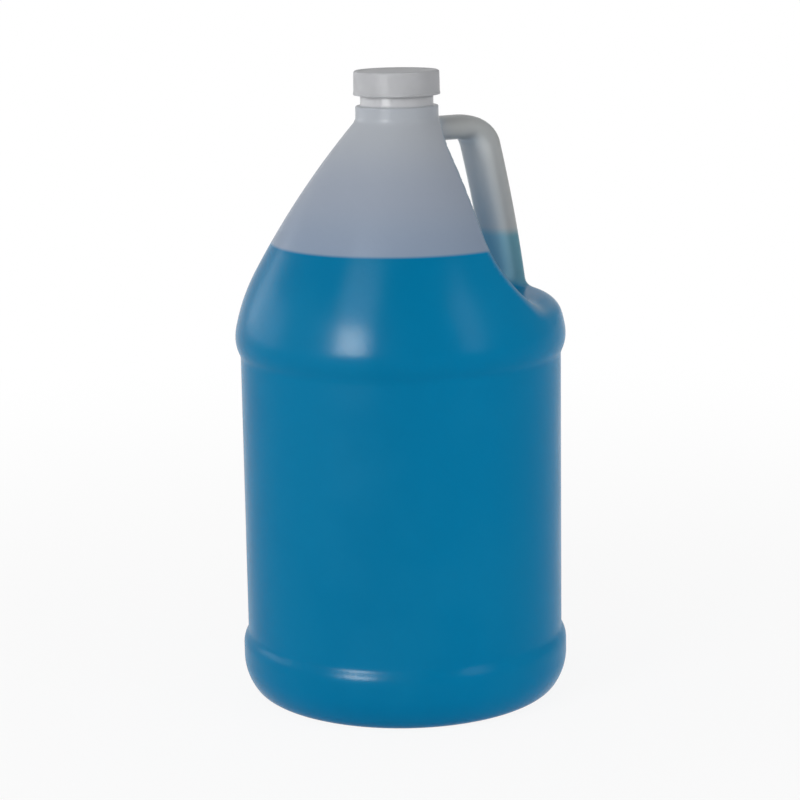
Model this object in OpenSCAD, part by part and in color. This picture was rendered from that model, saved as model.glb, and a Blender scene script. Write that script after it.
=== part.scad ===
// One-gallon blow-moulded jug with a hollow handle in its shoulder, part filled with
// blue liquid and closed by a screw cap. Millimetres, +Z up. The origin is at the middle
// of the foot on the standing surface, and the handle is on the +X side of the axis.

/* [Body] */
// Diameter of the straight label panel
panel_d = 154; // [140:0.2:175]
// How far the foot and shoulder rolls stand out from the panel
roll_out = 2.3; // [1:0.1:4]
// Height at which the foot roll starts to turn in
foot_roll_h = 23.7; // [20:0.5:35]
// Height at which the shoulder roll stands out furthest
shoulder_roll_h = 175.5; // [150:0.2:200]
// Wall thickness of the blown body and handle
wall = 1.1; // [0.8:0.1:2]

/* [Foot] */
// Radius of the lower part of the foot's outer corner
foot_low_r = 9.2; // [7:0.1:11]
// Radius of the upper part of the foot's outer corner
foot_high_r = 24.5; // [20:0.5:28]
// Width of the flat ring that the jug stands on
standing_w = 4.5; // [3:0.5:8]
// Slope at which the pushed-up base falls to the standing ring
push_up_slope = 45; // [30:1:60]
// Slope at the rim of the dome in the base
dome_slope = 6; // [3:0.5:9]

/* [Shoulder] */
// Radius of the shoulder roll's crest
crest_r = 22; // [15:1:30]
// Radius of the lower, rounder part of the shoulder
shoulder_low_r = 95; // [85:1:105]
// Radius of the upper, nearly conical part of the shoulder
shoulder_high_r = 415; // [350:1:500]
// Slope at which the crest hands over to the lower part
crest_slope = 11.5; // [10:0.5:13]
// Slope at which the lower part hands over to the upper part
shoulder_slope = 28.7; // [26:0.1:31]

/* [Neck] */
// Outer diameter of the plain ring at the root of the neck
ring_d = 39.4; // [38:0.2:42]
// Height of that ring
ring_h = 5.2; // [3:0.2:8]
// Diameter of the neck at the root of its thread
neck_d = 34.7; // [32:0.1:36.4]
// Bore of the neck
bore_d = 30.4; // [26:0.2:31]
// Height of the neck above its ring
neck_h = 14.2; // [13:0.2:18]
// Outer diameter over the thread
thread_d = 37.3; // [36.4:0.1:38]
// Rise of the thread in one turn
thread_pitch = 4.233; // [4:0.001:4.5]
// Degrees that the thread runs round the neck
neck_thread_a = 450; // [360:10:470]

/* [Handle] */
// Distance from the axis to the flat wall behind the fingers
recess_x = 10.6; // [8:0.5:13]
// Radius from that wall to the ledge below the fingers
recess_low_r = 34; // [28:1:38]
// Radius from that wall to the underside of the neck ring
recess_high_r = 14; // [11:0.5:15]
// Height of the ledge above the crest of the shoulder roll
ledge_rise = 18.2; // [16:0.5:20]
// Rounding of the ledge's outer edge
ledge_edge_r = 12; // [10:0.5:14]
// Depth of the bar that joins the handle to the neck
bar_t = 11.5; // [9:0.2:13]
// Thickness of the grip, across the palm
grip_t = 16.8; // [14:0.2:19]
// Width of the grip, along the fingers
grip_w = 24.4; // [20:0.5:28]
// How far the grip's middle stands inside the shoulder roll, at the ledge
grip_inset = 16.2; // [15:0.1:18]
// How far the grip leans in, in degrees
grip_lean = 11.6; // [9:0.1:14]
// How far the grip bows out at half its length
grip_bow = 1.2; // [0:0.1:3]
// Radius of the turn from bar to grip, on its middle line
turn_r = 13; // [12:0.5:16]
// Squareness of the handle's section, where 2 is an ellipse
grip_power = 2.3; // [2:0.1:3]

/* [Cap] */
// Outer diameter of the cap at its lower edge
cap_d = 41.2; // [40.6:0.1:43]
// Height of the cap
cap_h = 11.4; // [10.8:0.1:13]
// Thickness of the cap's top
cap_top_t = 1.3; // [1:0.1:2]
// How much narrower the cap is at its top, in diameter
cap_draft = 0.7; // [0:0.1:1]
// Thickness of the sealing liner
liner_t = 1; // [0.6:0.1:1.2]
// Degrees that the thread runs round the inside of the cap
cap_thread_a = 420; // [360:10:430]
// Radial clearance between the cap's skirt and the thread
skirt_gap = 0.3; // [0.2:0.05:0.4]

/* [Liquid] */
// Height of the liquid's surface above the standing surface
fill_h = 220.8; // [60:0.1:240]
// Clearance between the liquid and the wall
fill_gap = 0.3; // [0.2:0.05:0.5]

/* [Hidden] */

// Colour of the blown wall
milky = [0.80, 0.84, 0.87];
roll_r = panel_d / 2 + roll_out;
ring_r = ring_d / 2;
neck_r = neck_d / 2;
bore_r = bore_d / 2;
thread_r = thread_d / 2;

// Radii of the small arcs in the profile
hollow_r = 4;         // where a roll runs into the panel
foot_turn_r = 10;     // foot roll
shoulder_turn_r = 17; // underside of the shoulder roll
neck_fillet_r = 4.5;  // shoulder into neck ring
base_edge_r = 4;      // inner edge of the standing ring
base_step_r = 6;      // rim of the dome
foot_corner_a = 35;   // slope where the foot's two radii meet

// Points on an arc, each with the angle of the outward normal. A negative radius is a
// hollow arc, seen from outside
function unit(a) = [cos(a), sin(a)];
function arc(c, r, a0, a1, n) =
    [for (i = [0 : n]) let (a = a0 + (a1 - a0) * i / n) concat(c + r * unit(a), [a])];
// Centre of the arc of radius s that goes on smoothly at angle a from the arc at c
function next(c, r, s, a) = c + (r - s) * unit(a);

// Pushed-up base and foot, from the axis outwards
standing_r = roll_r - foot_low_r * cos(foot_corner_a) - foot_high_r * (1 - cos(foot_corner_a));
base_edge_x = standing_r - standing_w;
dome_edge_a = -90 - dome_slope;
step_a = -90 - push_up_slope;
base_edge_c = [base_edge_x, base_edge_r];
base_step_c = next(base_edge_c, base_edge_r, -base_step_r, step_a);
dome_r = (base_step_c.x + base_step_r * sin(dome_slope)) / sin(dome_slope);
dome_c = next(base_step_c, -base_step_r, -dome_r, dome_edge_a);
foot_low_c = [standing_r, foot_low_r];
foot_high_c = next(foot_low_c, foot_low_r, foot_high_r, -foot_corner_a);
// Foot roll and panel
foot_turn_a = acos(1 - roll_out / (foot_turn_r + hollow_r));
foot_turn_c = [roll_r - foot_turn_r, foot_roll_h];
foot_hollow_c = next(foot_turn_c, foot_turn_r, -hollow_r, foot_turn_a);
shoulder_turn_a = -acos(1 - roll_out / (shoulder_turn_r + hollow_r));
shoulder_turn_c = [roll_r - shoulder_turn_r, shoulder_roll_h];
shoulder_hollow_c = next(shoulder_turn_c, shoulder_turn_r, -hollow_r, shoulder_turn_a);
// Shoulder, up to the fillet under the neck ring
crest_c = [roll_r - crest_r, shoulder_roll_h];
low_c = next(crest_c, crest_r, shoulder_low_r, crest_slope);
high_c = next(low_c, shoulder_low_r, shoulder_high_r, shoulder_slope);
neck_a = acos((ring_r + neck_fillet_r - high_c.x) / (shoulder_high_r + neck_fillet_r));
neck_fillet_c = next(high_c, shoulder_high_r, -neck_fillet_r, neck_a);
// Ledge below the fingers, whose rounded edge runs smoothly into the shoulder
ledge_z = shoulder_roll_h + ledge_rise;
ledge_a = asin((ledge_z - ledge_edge_r - low_c.y) / (shoulder_low_r - ledge_edge_r));
ledge_c = next(low_c, shoulder_low_r, ledge_edge_r, ledge_a);

base_skin = concat(
    arc(dome_c, -dome_r, -90, dome_edge_a, 3),
    arc(base_step_c, -base_step_r, dome_edge_a, step_a, 3),
    arc(base_edge_c, base_edge_r, step_a, -90, 4),
    arc(foot_low_c, foot_low_r, -90, -foot_corner_a, 7),
    arc(foot_high_c, foot_high_r, -foot_corner_a, 0, 6),
    arc(foot_turn_c, foot_turn_r, 0, foot_turn_a, 4),
    arc(foot_hollow_c, -hollow_r, foot_turn_a, 0, 3),
    arc(shoulder_hollow_c, -hollow_r, 0, shoulder_turn_a, 3),
    arc(shoulder_turn_c, shoulder_turn_r, shoulder_turn_a, 0, 4),
    arc(crest_c, crest_r, 0, crest_slope, 2));
low_skin = concat(
    arc(low_c, shoulder_low_r, crest_slope, ledge_a, 1),
    arc(low_c, shoulder_low_r, ledge_a, shoulder_slope, 5));
high_skin = arc(high_c, shoulder_high_r, shoulder_slope, neck_a, 8);
neck_skin = arc(neck_fillet_c, -neck_fillet_r, neck_a, 0, 4);

// Heights that follow from the profile
ring_z = neck_fillet_c.y;
ring_top_z = ring_z + ring_h;
lip_z = ring_top_z + neck_h;
liner_z = lip_z;
cap_top_z = lip_z + liner_t + cap_top_t;
cap_z = cap_top_z - cap_h;

// Skin moved inwards by t along its normals
function inset(skin, t) = [for (p = skin) [p.x, p.y] - t * unit(p.z)];
// A profile without repeated points
function clean(pts) = [for (i = [0 : len(pts) - 1])
    if (i == 0 || norm(pts[i] - pts[i - 1]) > 0.001) pts[i]];

lip_round = 0.6;
ring_bevel = 0.5;
above = 2;
module outer_turning() rotate_extrude($fn = 96) polygon(clean(concat(
    inset(base_skin, 0), inset(low_skin, 0), inset(high_skin, 0), inset(neck_skin, 0),
    [[ring_r, ring_top_z - ring_bevel], [ring_r - ring_bevel, ring_top_z],
     [neck_r, ring_top_z], [neck_r, lip_z - lip_round], [neck_r - lip_round, lip_z],
     [0, lip_z]])));

// The cavity's turned part: it follows the skin at depth t, then becomes the bore
module inner_turning(t) {
    bore_z = high_c.y + sqrt(pow(shoulder_high_r - t, 2) - pow(bore_r - high_c.x, 2));
    rotate_extrude($fn = 96) polygon(clean(concat(
        inset(base_skin, t), inset(low_skin, t),
        [for (p = inset(high_skin, t)) if (p.x > bore_r + t) p],
        [[bore_r, bore_z], [bore_r, lip_z + above], [0, lip_z + above]])));
}

// Ledge with its rounded edge, t inside its skin. It ends where it meets the shoulder
module ledge(t) {
    edge = inset(arc(ledge_c, ledge_edge_r, ledge_a, 90, 6), t);
    rotate_extrude($fn = 96) polygon(concat(
        [[0, edge[0].y - ledge_edge_r], [edge[0].x, edge[0].y - ledge_edge_r]],
        edge, [[0, ledge_z - t]]));
}

// Hand recess: all that lies beyond the flat wall, between the ledge and the neck ring.
// It is cut straight through, as a mould that opens along Y makes it
recess_drop = 1.2;
// The crease beside the ledge fades out along a slant, and ends with a short steep step
fade_share = 0.7;
fade_step = 2;
module recess(t) {
    reach = 2 * roll_r;
    ring_low_z = ring_z - recess_drop;
    split_z = low_c.y + (shoulder_low_r - t) * sin(ledge_a);
    low_fillet_c = [recess_x + recess_low_r, ledge_z + recess_low_r];
    ledge_start = [low_fillet_c.x, ledge_z - t];
    fade = ledge_start + fade_share * ([ledge_c.x, split_z] - ledge_start);
    high_fillet_c = [recess_x + recess_high_r, ring_low_z - recess_high_r];
    side = concat(
        [[reach, ring_low_z + t]],
        [for (i = [0 : 8]) high_fillet_c + (recess_high_r + t) * unit(90 + 90 * i / 8)],
        [for (i = [0 : 12]) low_fillet_c + (recess_low_r + t) * unit(180 + 90 * i / 12)],
        [fade, [fade.x + fade_step, split_z], [reach, split_z]]);
    difference() {
        rotate([90, 0, 0]) linear_extrude(2 * reach, center = true) polygon(side);
        ledge(t);
    }
}

// Handle: a hollow tube swept along a bar, a turn and a grip. It flares where it runs
// into the neck and into the ledge
bar_z = ring_z - recess_drop - bar_t / 2 - 0.2;
foot_x = roll_r - grip_inset;
bar_start_x = recess_x - 7;
foot_low_z = ledge_z - 6;
flare_in = 8;
flare_out = 2.5;
flare_side = 6;
// The foot of the grip tips outwards, as the ledge does below it
foot_tilt = 12;
foot_tuck = 3;
// Middle line of the grip, as a height above the ledge
grip_l = bar_z - ledge_z;
function grip_x(h) = foot_x - h * tan(grip_lean)
    + 4 * grip_bow * (h / grip_l) * (1 - h / grip_l);
// Slope of that line at its top, and the turn that joins it to the bar
top_slope = atan(tan(grip_lean) + 4 * grip_bow / grip_l);
turn_a = 90 - top_slope;
turn_l = turn_r * tan(turn_a / 2);
turn_x = grip_x(grip_l) - turn_l;
turn_h = grip_l - turn_l * cos(top_slope);

bar_n = 8;
turn_n = 10;
grip_n = 11;
foot_n = 7;
// Stations of the sweep: x, z, then the direction of travel in degrees
stations = concat(
    [[bar_start_x, bar_z, 0]],
    [for (i = [0 : bar_n - 1]) let (u = i / bar_n)
        [recess_x + (turn_x - recess_x) * pow(u, 1.5), bar_z, 0]],
    [for (i = [0 : turn_n]) let (a = turn_a * i / turn_n)
        [turn_x + turn_r * sin(a), bar_z - turn_r * (1 - cos(a)), -a]],
    [for (i = [1 : grip_n]) let (h = turn_h + (flare_in - turn_h) * i / grip_n)
        [grip_x(h), ledge_z + h, -90 + grip_lean * (h / grip_l + 0.5)]],
    [for (i = [1 : foot_n]) let (v = i / foot_n, h = flare_in * (1 - sin(90 * v)))
        [grip_x(h), ledge_z + h, -90 + grip_lean * (h / grip_l + 0.5) * (1 - v) - foot_tilt * v]],
    [[grip_x(0) - foot_tuck, foot_low_z, -90 - foot_tilt]]);

// Half a size s, t inside the skin, with a fillet of radius r at distance d from its foot
function flared(s, r, d, t) = let (e = max(0, r - abs(d)))
    s / 2 + r - sqrt(pow(r + t, 2) - pow(e, 2));
function smooth(u) = let (v = min(1, max(0, u))) v * v * (3 - 2 * v);
// Signed power, for the rounded section
function spow(v, e) = sign(v) * pow(abs(v), e);

section_n = 28;
function section(s, t) =
    let (wall_d = s.x - recess_x, ledge_d = s.y - ledge_z,
         thick = bar_t + (grip_t - bar_t) * smooth(-s.z / turn_a),
         at_bar = ledge_d > turn_h,
         d = at_bar ? wall_d : ledge_d,
         half_in = flared(thick, flare_in, d, t),
         half_out = flared(thick, at_bar ? 0.5 : flare_out, d, t),
         half_w = flared(grip_w, flare_side, d, t),
         out = unit(s.z + 90), e = 2 / grip_power)
    [for (k = [0 : section_n - 1]) let (a = 360 * k / section_n, c = cos(a),
        p = (c > 0 ? half_out : half_in) * spow(c, e), w = half_w * spow(sin(a), e))
        [s.x + p * out.x, w, s.y + p * out.y]];

// Closed tube through rings of equal count
module tube(rings) {
    n = len(rings[0]);
    m = len(rings);
    polyhedron(
        points = [for (r = rings) for (p = r) p],
        faces = concat(
            [[for (k = [n - 1 : -1 : 0]) k]],
            [for (i = [0 : m - 2]) for (k = [0 : n - 1]) let (j = (k + 1) % n)
                each [[i * n + k, (i + 1) * n + j, (i + 1) * n + k],
                      [i * n + k, i * n + j, (i + 1) * n + j]]],
            [[for (k = [0 : n - 1]) (m - 1) * n + k]]));
}
module handle(t) tube([for (s = stations) section(s, t)]);

// The whole form at depth t: the body less the hand recess, with the handle
module cavity(t) {
    difference() {
        inner_turning(t);
        recess(t);
    }
    handle(t);
}

// Thread ridge on a helix. The section is a trapezium between two radii, and its crest
// fades away over the first and last stretch
thread_step = 12;
thread_fade = 36;
thread_bite = 0.3;
module thread(root, crest, root_w, crest_w, z0, a0, a1) {
    n = round((a1 - a0) / thread_step);
    tube([for (i = [0 : n])
        let (a = a0 + (a1 - a0) * i / n,
             fade = min(1, (a - a0) / thread_fade, (a1 - a) / thread_fade),
             r = root + (crest - root) * (0.1 + 0.9 * fade), z = z0 + thread_pitch * a / 360,
             in = crest > root ? [0, 1, 2, 3] : [3, 2, 1, 0],
             pts = [[root, -root_w / 2], [r, -crest_w / 2], [r, crest_w / 2], [root, root_w / 2]])
        [for (k = in) [pts[k].x * cos(a), pts[k].x * sin(a), z + pts[k].y]]]);
}
neck_thread_z = lip_z - 1.7 - thread_pitch * neck_thread_a / 360;
// The cap's thread lies midway between the turns of the neck's
cap_thread_start = 120;
ridge_root_w = 2.4;
ridge_crest_w = 1.2;

// The wall is one moulding. It is modelled as four pieces that meet face to face on flat
// cuts: body, shoulder, neck and handle
body_cut_z = crest_c.y + 6;
neck_cut_z = ring_z - recess_drop / 2;
// The handle's cuts lie where its tube leaves its flare, and clear of the recess's corner
handle_cut_z = ledge_z + flare_in;
low_corner_x = recess_low_r - sqrt(pow(recess_low_r, 2) - pow(recess_low_r - flare_in, 2));
handle_cut_x = recess_x + low_corner_x + 2;
// All that lies between two heights
module layer(low_z, high_z) translate([-2 * roll_r, -2 * roll_r, low_z])
    cube([4 * roll_r, 4 * roll_r, high_z - low_z]);
module handle_side() translate([handle_cut_x, -roll_r, handle_cut_z])
    cube([2 * roll_r, 2 * roll_r, lip_z - handle_cut_z]);

module jug_body() color(milky) difference() {
    outer_turning();
    inner_turning(wall);
    layer(body_cut_z, lip_z + above);
}

module jug_shoulder() color(milky) difference() {
    union() {
        difference() {
            outer_turning();
            recess(0);
        }
        handle(0);
    }
    cavity(wall);
    layer(-above, body_cut_z);
    layer(neck_cut_z, lip_z + above);
    handle_side();
}

module jug_neck() color(milky) difference() {
    union() {
        outer_turning();
        thread(neck_r - thread_bite, thread_r, ridge_root_w, ridge_crest_w,
            neck_thread_z, 0, neck_thread_a);
    }
    inner_turning(wall);
    layer(-above, neck_cut_z);
}

module jug_handle() color(milky) intersection() {
    difference() {
        handle(0);
        handle(wall);
    }
    handle_side();
}

module blue_liquid() color([0.05, 0.45, 0.65]) intersection() {
    cavity(wall + fill_gap);
    cylinder(h = fill_h, r = 2 * roll_r);
}

liner_edge_gap = 0.25;
skirt_r = thread_r + skirt_gap;
module cap_liner() color([0.93, 0.93, 0.90]) translate([0, 0, liner_z])
    cylinder(h = liner_t, r = skirt_r - liner_edge_gap, $fn = 96);

// Cap: a drafted skirt with a thin lip at its lower edge, and a rounded top edge
cap_edge_r = 1.2;
cap_lip_h = 0.9;
cap_lip_out = 0.15;
module screw_cap() color([0.94, 0.94, 0.94]) {
    low_r = cap_d / 2;
    top_r = low_r - cap_draft / 2;
    side = low_r - cap_lip_out;
    difference() {
        rotate_extrude($fn = 96) polygon(concat(
            [[0, cap_z], [low_r, cap_z], [low_r, cap_z + cap_lip_h],
             [side, cap_z + cap_lip_h + cap_lip_out]],
            [for (i = [0 : 6]) [top_r - cap_edge_r, cap_top_z - cap_edge_r]
                + cap_edge_r * unit(90 * i / 6)],
            [[0, cap_top_z]]));
        translate([0, 0, cap_z - above])
            cylinder(h = cap_h - cap_top_t + above, r = skirt_r, $fn = 96);
    }
    thread(skirt_r + thread_bite, neck_r + skirt_gap, ridge_root_w - 0.4, ridge_crest_w - 0.2,
        neck_thread_z - thread_pitch / 2, cap_thread_start, cap_thread_start + cap_thread_a);
}

jug_body();
jug_shoulder();
jug_neck();
jug_handle();
blue_liquid();
cap_liner();
screw_cap();
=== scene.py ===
# %% [markdown]
# # A one-gallon jug of blue liquid
# The real jug is blown from milky plastic in one piece: a round body, a sloping shoulder
# with a hand recess, and a hollow handle that opens into both. It is part filled with blue
# liquid and closed by a white screw cap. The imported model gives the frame: its solids fix
# every size, and the pieces made here stand in the same places with finer skins.

# %% Load the frame
import math

import bpy
import numpy as np
from mathutils import Matrix, Vector


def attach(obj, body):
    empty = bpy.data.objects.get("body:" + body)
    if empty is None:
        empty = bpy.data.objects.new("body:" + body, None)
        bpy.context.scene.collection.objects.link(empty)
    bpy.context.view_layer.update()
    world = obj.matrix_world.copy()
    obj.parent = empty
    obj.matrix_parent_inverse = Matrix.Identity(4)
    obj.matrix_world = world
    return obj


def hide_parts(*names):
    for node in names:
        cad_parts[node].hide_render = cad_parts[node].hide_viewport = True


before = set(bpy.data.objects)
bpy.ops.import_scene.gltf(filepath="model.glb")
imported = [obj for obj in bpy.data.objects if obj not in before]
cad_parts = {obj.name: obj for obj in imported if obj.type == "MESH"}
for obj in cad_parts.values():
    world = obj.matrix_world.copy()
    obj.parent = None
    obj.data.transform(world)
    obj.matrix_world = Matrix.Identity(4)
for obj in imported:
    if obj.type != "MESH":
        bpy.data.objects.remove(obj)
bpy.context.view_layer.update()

# %% [markdown]
# ## Camera
# A product picture like this is taken with a long lens from about a metre away, a little
# above the cap, so that the sides stay nearly upright. The camera stands to the left of
# the handle's plane, looks slightly down and is tilted by less than a degree. A long lens
# and a measured place keep the ellipses of the roll, the liquid and the cap right.

# %% Camera
CAMERA_TURN = math.radians(-33)
CAMERA_BACK = 1.1294
CAMERA_HEIGHT = 0.3759
CAMERA_DOWN = math.radians(11.669)
CAMERA_ROLL = math.radians(0.922)
CAMERA_YAW = math.radians(0.037)
LENS = 107.24
TO_CAMERA = (math.sin(CAMERA_TURN), -math.cos(CAMERA_TURN), 0)
TO_RIGHT = (math.cos(CAMERA_TURN), math.sin(CAMERA_TURN), 0)
TO_LEFT = (-math.cos(CAMERA_TURN), -math.sin(CAMERA_TURN), 0)


def place_camera():
    """Put the camera on its stand: away from the axis, up, then tipped down and rolled."""
    where = Vector((math.sin(CAMERA_TURN) * CAMERA_BACK,
                    -math.cos(CAMERA_TURN) * CAMERA_BACK, CAMERA_HEIGHT))
    tip = Matrix.Rotation(math.pi / 2 - CAMERA_DOWN, 4, "X")
    turn = Matrix.Rotation(CAMERA_TURN + CAMERA_YAW, 4, "Z")
    roll = Matrix.Rotation(-CAMERA_ROLL, 4, "Z")
    camera = bpy.data.objects.new("camera", bpy.data.cameras.new("camera"))
    camera.matrix_world = Matrix.Translation(where) @ turn @ tip @ roll
    camera.data.sensor_width = 36
    camera.data.lens = LENS
    camera.data.clip_end = 50
    bpy.context.scene.collection.objects.link(camera)
    bpy.context.scene.camera = camera
    return camera


camera = place_camera()
print("camera at", [round(v, 3) for v in camera.matrix_world.translation])

# %% [markdown]
# ## The jug's profile
# A jug's designer draws the body as one smooth chain of arcs, each starting in the
# direction in which the last one ended: pushed-up base, foot roll, straight panel,
# shoulder roll, shoulder and neck. The same chain is followed here in millimetres. Each
# arc knows its centre, its radius and the two directions between which it runs, which is
# enough to say how far any point is from it. A negative radius is a hollow arc.

# %% Profile sizes, in millimetres
PANEL_R, ROLL_OUT = 77.0, 2.3
ROLL_R = PANEL_R + ROLL_OUT
FOOT_ROLL_H, SHOULDER_ROLL_H = 23.7, 175.5
RING_R, RING_H, NECK_R, BORE_R, NECK_H = 19.7, 5.2, 17.35, 15.2, 14.2
WALL, FILL_GAP, FILL_H = 1.1, 0.3, 220.8
BASE_EDGE_R, BASE_STEP_R, PUSH_UP_SLOPE, DOME_SLOPE = 4.0, 6.0, 45.0, 6.0
FOOT_LOW_R, FOOT_HIGH_R, FOOT_CORNER_A, STANDING_W = 9.2, 24.5, 35.0, 4.5
FOOT_TURN_R, SHOULDER_TURN_R, HOLLOW_R = 10.0, 17.0, 4.0
CREST_R, LOW_R, HIGH_R, CREST_SLOPE, LOW_SLOPE = 22.0, 95.0, 415.0, 11.5, 28.7
RING_FILLET_R, BORE_FILLET_R = 4.5, 4.1
THREAD_PITCH, THREAD_A, THREAD_DROP, THREAD_CREST_R = 4.233, 450, 1.7, 18.65
THREAD_SINK = 0.3


def unit(degrees):
    """The direction at an angle, as x and z."""
    return np.array([math.cos(math.radians(degrees)), math.sin(math.radians(degrees))])


def carry_on(centre, radius, new_radius, angle):
    """Centre of the next arc, where it leaves the last one smoothly at this angle."""
    return centre + (radius - new_radius) * unit(angle)


def turned_profile(neck_r, fillet_r):
    """Arcs as (centre, radius, low angle, high angle), and flats as (axis, place, from, to)."""
    foot_drop = FOOT_LOW_R * math.cos(math.radians(FOOT_CORNER_A))
    foot_rise = FOOT_HIGH_R * (1 - math.cos(math.radians(FOOT_CORNER_A)))
    standing_r = ROLL_R - foot_drop - foot_rise
    base_edge_r = standing_r - STANDING_W
    edge_c = np.array([base_edge_r, BASE_EDGE_R])
    step_c = carry_on(edge_c, BASE_EDGE_R, -BASE_STEP_R, -90 - PUSH_UP_SLOPE)
    sine = math.sin(math.radians(DOME_SLOPE))
    dome_r = (step_c[0] + BASE_STEP_R * sine) / sine
    dome_c = carry_on(step_c, -BASE_STEP_R, -dome_r, -90 - DOME_SLOPE)
    low_c = np.array([standing_r, FOOT_LOW_R])
    high_c = carry_on(low_c, FOOT_LOW_R, FOOT_HIGH_R, -FOOT_CORNER_A)
    foot_a = math.degrees(math.acos(1 - ROLL_OUT / (FOOT_TURN_R + HOLLOW_R)))
    foot_c = np.array([ROLL_R - FOOT_TURN_R, FOOT_ROLL_H])
    foot_hollow_c = carry_on(foot_c, FOOT_TURN_R, -HOLLOW_R, foot_a)
    top_a = -math.degrees(math.acos(1 - ROLL_OUT / (SHOULDER_TURN_R + HOLLOW_R)))
    top_c = np.array([ROLL_R - SHOULDER_TURN_R, SHOULDER_ROLL_H])
    top_hollow_c = carry_on(top_c, SHOULDER_TURN_R, -HOLLOW_R, top_a)
    crest_c = np.array([ROLL_R - CREST_R, SHOULDER_ROLL_H])
    shoulder_c = carry_on(crest_c, CREST_R, LOW_R, CREST_SLOPE)
    cone_c = carry_on(shoulder_c, LOW_R, HIGH_R, LOW_SLOPE)
    neck_a = math.degrees(math.acos((neck_r + fillet_r - cone_c[0]) / (HIGH_R + fillet_r)))
    neck_c = carry_on(cone_c, HIGH_R, -fillet_r, neck_a)
    arcs = [(dome_c, -dome_r, -90 - DOME_SLOPE, -90),
            (step_c, -BASE_STEP_R, -90 - PUSH_UP_SLOPE, -90 - DOME_SLOPE),
            (edge_c, BASE_EDGE_R, -90 - PUSH_UP_SLOPE, -90),
            (low_c, FOOT_LOW_R, -90, -FOOT_CORNER_A),
            (high_c, FOOT_HIGH_R, -FOOT_CORNER_A, 0),
            (foot_c, FOOT_TURN_R, 0, foot_a),
            (foot_hollow_c, -HOLLOW_R, 0, foot_a),
            (top_hollow_c, -HOLLOW_R, top_a, 0),
            (top_c, SHOULDER_TURN_R, top_a, 0),
            (crest_c, CREST_R, 0, CREST_SLOPE),
            (shoulder_c, LOW_R, CREST_SLOPE, LOW_SLOPE),
            (cone_c, HIGH_R, LOW_SLOPE, neck_a),
            (neck_c, -fillet_r, 0, neck_a)]
    flats = [("z", 0.0, base_edge_r, standing_r),
             ("r", ROLL_R, high_c[1], foot_c[1]),
             ("r", PANEL_R, foot_hollow_c[1], top_hollow_c[1]),
             ("r", neck_r, neck_c[1], 400.0)]
    return arcs, flats, neck_c[1]


OUTER_ARCS, OUTER_FLATS, RING_Z = turned_profile(RING_R, RING_FILLET_R)
INNER_ARCS, INNER_FLATS, BORE_Z = turned_profile(BORE_R + WALL, BORE_FILLET_R)
RING_TOP_Z = RING_Z + RING_H
LIP_Z = RING_Z + RING_H + NECK_H
THREAD_Z = LIP_Z - THREAD_DROP - THREAD_PITCH * THREAD_A / 360
print("neck ring starts at", round(RING_Z, 3), "mm, lip at", round(LIP_Z, 3), "mm")

# %% [markdown]
# ## One smooth field for the blown form
# A blown skin has no sharp seams: wherever the recess cuts the shoulder, or the handle
# meets the neck and the ledge, the plastic has drawn a fillet. Booleans on meshes leave
# hard edges there. So the form is written as a distance: how far a point is outside the
# skin, in millimetres. Two distances join with a rounding of any radius, and that radius
# may change from place to place, as the crease beside the ledge does where it dies away.

# %% Distance to the turned body


def turned(r, z, arcs, flats):
    """Signed distance to the turned form, negative inside it."""
    best = np.full(r.shape, 1e3)
    for centre, radius, low, high in arcs:
        side = math.copysign(1, radius)
        dx, dz = r - centre[0], z - centre[1]
        angle = np.degrees(np.arctan2(side * dz, side * dx))
        gap = side * (np.hypot(dx, dz) - abs(radius))
        near = (angle > low - 1e-3) & (angle < high + 1e-3) & (np.abs(gap) < np.abs(best))
        best = np.where(near, gap, best)
    for axis, place, start, end in flats:
        along, gap = (r, place - z) if axis == "z" else (z, r - place)
        near = (along > start - 1e-3) & (along < end + 1e-3) & (np.abs(gap) < np.abs(best))
        best = np.where(near, gap, best)
    return best


def rounded_corner(u, v, radius):
    """Distance past an inner corner that has this radius."""
    return (np.minimum(np.maximum(u, v), 0) - radius
            + np.hypot(np.maximum(u, 0), np.maximum(v, 0)))


def trimmed(a, b, radius):
    """What lies in both forms, with the edge between them rounded."""
    return (np.minimum(np.maximum(a, b), -radius)
            + np.hypot(np.maximum(a + radius, 0), np.maximum(b + radius, 0)))


def joined(a, b, radius):
    """What lies in either form, with a fillet in the corner between them."""
    return -trimmed(-a, -b, radius)


def ease(value, start, end):
    """0 before start, 1 after end, and a smooth way between."""
    share = np.clip((value - start) / (end - start), 0, 1)
    return share * share * (3 - 2 * share)


# %% Hand recess, in millimetres
RECESS_X, RECESS_LOW_R, RECESS_HIGH_R = 10.6, 34.0, 14.0
LEDGE_Z, LEDGE_EDGE_R = SHOULDER_ROLL_H + 18.2, 12.0
RECESS_DROP = 1.2
RECESS_TOP_Z = RING_Z - RECESS_DROP
SHOULDER_C = OUTER_ARCS[10][0]
LEDGE_A = math.asin((LEDGE_Z - LEDGE_EDGE_R - SHOULDER_C[1]) / (LOW_R - LEDGE_EDGE_R))
LEDGE_C = SHOULDER_C + (LOW_R - LEDGE_EDGE_R) * np.array([math.cos(LEDGE_A), math.sin(LEDGE_A)])


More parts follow.
